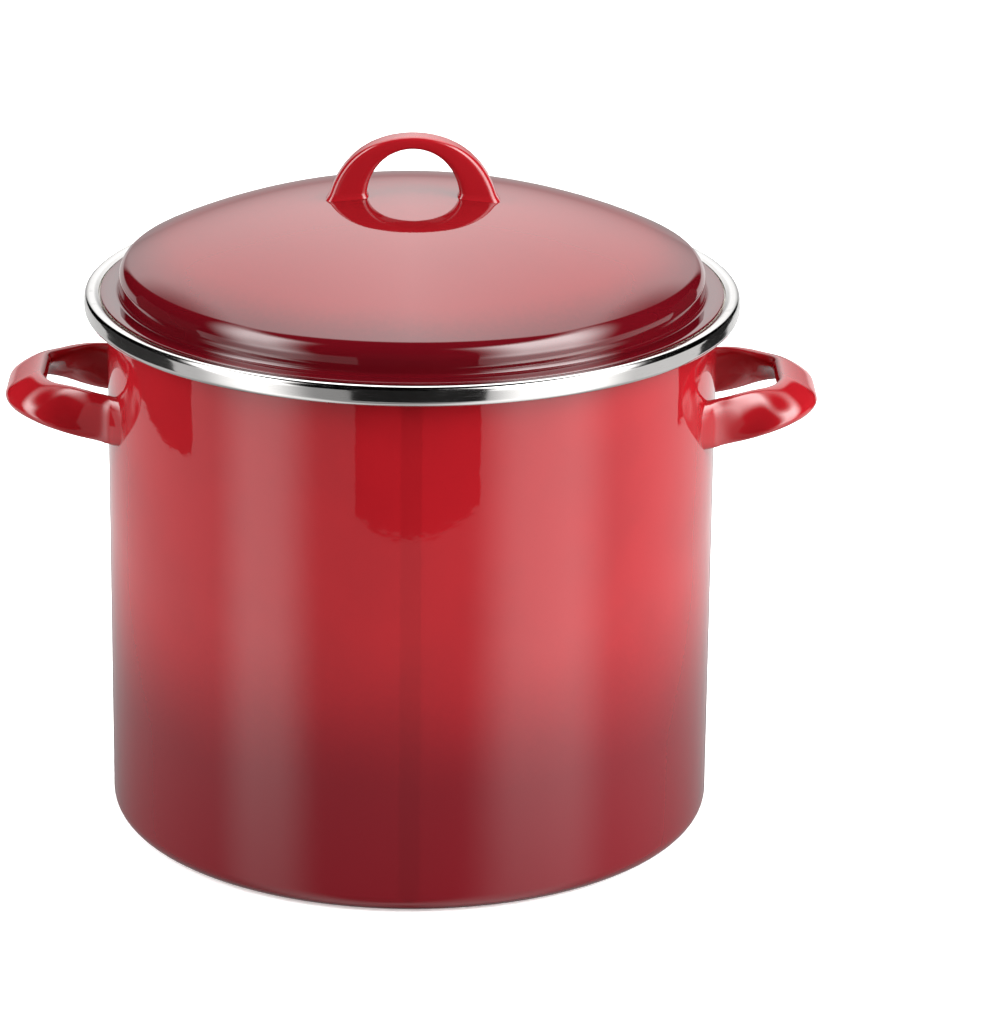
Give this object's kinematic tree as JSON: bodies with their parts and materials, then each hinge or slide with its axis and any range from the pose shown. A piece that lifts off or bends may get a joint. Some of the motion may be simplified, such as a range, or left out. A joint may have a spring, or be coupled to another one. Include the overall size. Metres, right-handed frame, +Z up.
{
  "type": "water bath canner",
  "caption": "Tall enamelled pot with two loop handles, a steel rim band, a domed lid and a lift-out wire rack for jars, for canning in boiling water.",
  "frame": {"origin": "centre of the pot's flat base, on the pot's axis", "axes": "+Z up along the pot's axis, X through the two side handles"},
  "size_m": [0.3466, 0.279, 0.3011],
  "materials": {
    "red_enamel": "high-gloss vitreous enamel, fading to burgundy at the base and on the lid's edge",
    "steel_band": "bright polished",
    "rack_wire": "bright plated wire"
  },
  "bodies": {
    "pot": {"pot_shell": "red_enamel", "rim_band": "steel_band", "left_handle": "red_enamel", "right_handle": "red_enamel"},
    "lid": {"lid_shell": "red_enamel", "lid_handle": "red_enamel"},
    "rack": {"rack_hub_ring": "rack_wire", "rack_base_ring": "rack_wire", "rack_inner_ring": "rack_wire", "rack_top_ring": "rack_wire", "rack_divider_1": "rack_wire", "rack_divider_2": "rack_wire", "rack_divider_3": "rack_wire", "rack_divider_4": "rack_wire", "rack_divider_5": "rack_wire", "rack_divider_6": "rack_wire", "rack_foot_1": "rack_wire", "rack_foot_2": "rack_wire", "rack_foot_3": "rack_wire"},
    "left_bail": {"rack_left_bail": "rack_wire"},
    "right_bail": {"rack_right_bail": "rack_wire"}
  },
  "joints": [
    {"name": "rack_lift", "type": "slide", "parent": "pot", "child": "rack", "axis": [0, 0, 1], "range_m": [0, 0.26]},
    {"name": "lid_lift", "type": "slide", "parent": "rack", "child": "lid", "axis": [0, 0, 1], "range_m": [0, 0.3]},
    {"name": "left_bail_hinge", "type": "hinge", "parent": "rack", "child": "left_bail", "pos_m": [-0.1131, 0, 0.085], "axis": [0, -1, 0], "range_deg": [0, 90]},
    {"name": "right_bail_hinge", "type": "hinge", "parent": "rack", "child": "right_bail", "pos_m": [0.1131, 0, 0.085], "axis": [0, 1, 0], "range_deg": [0, 90]}
  ]
}
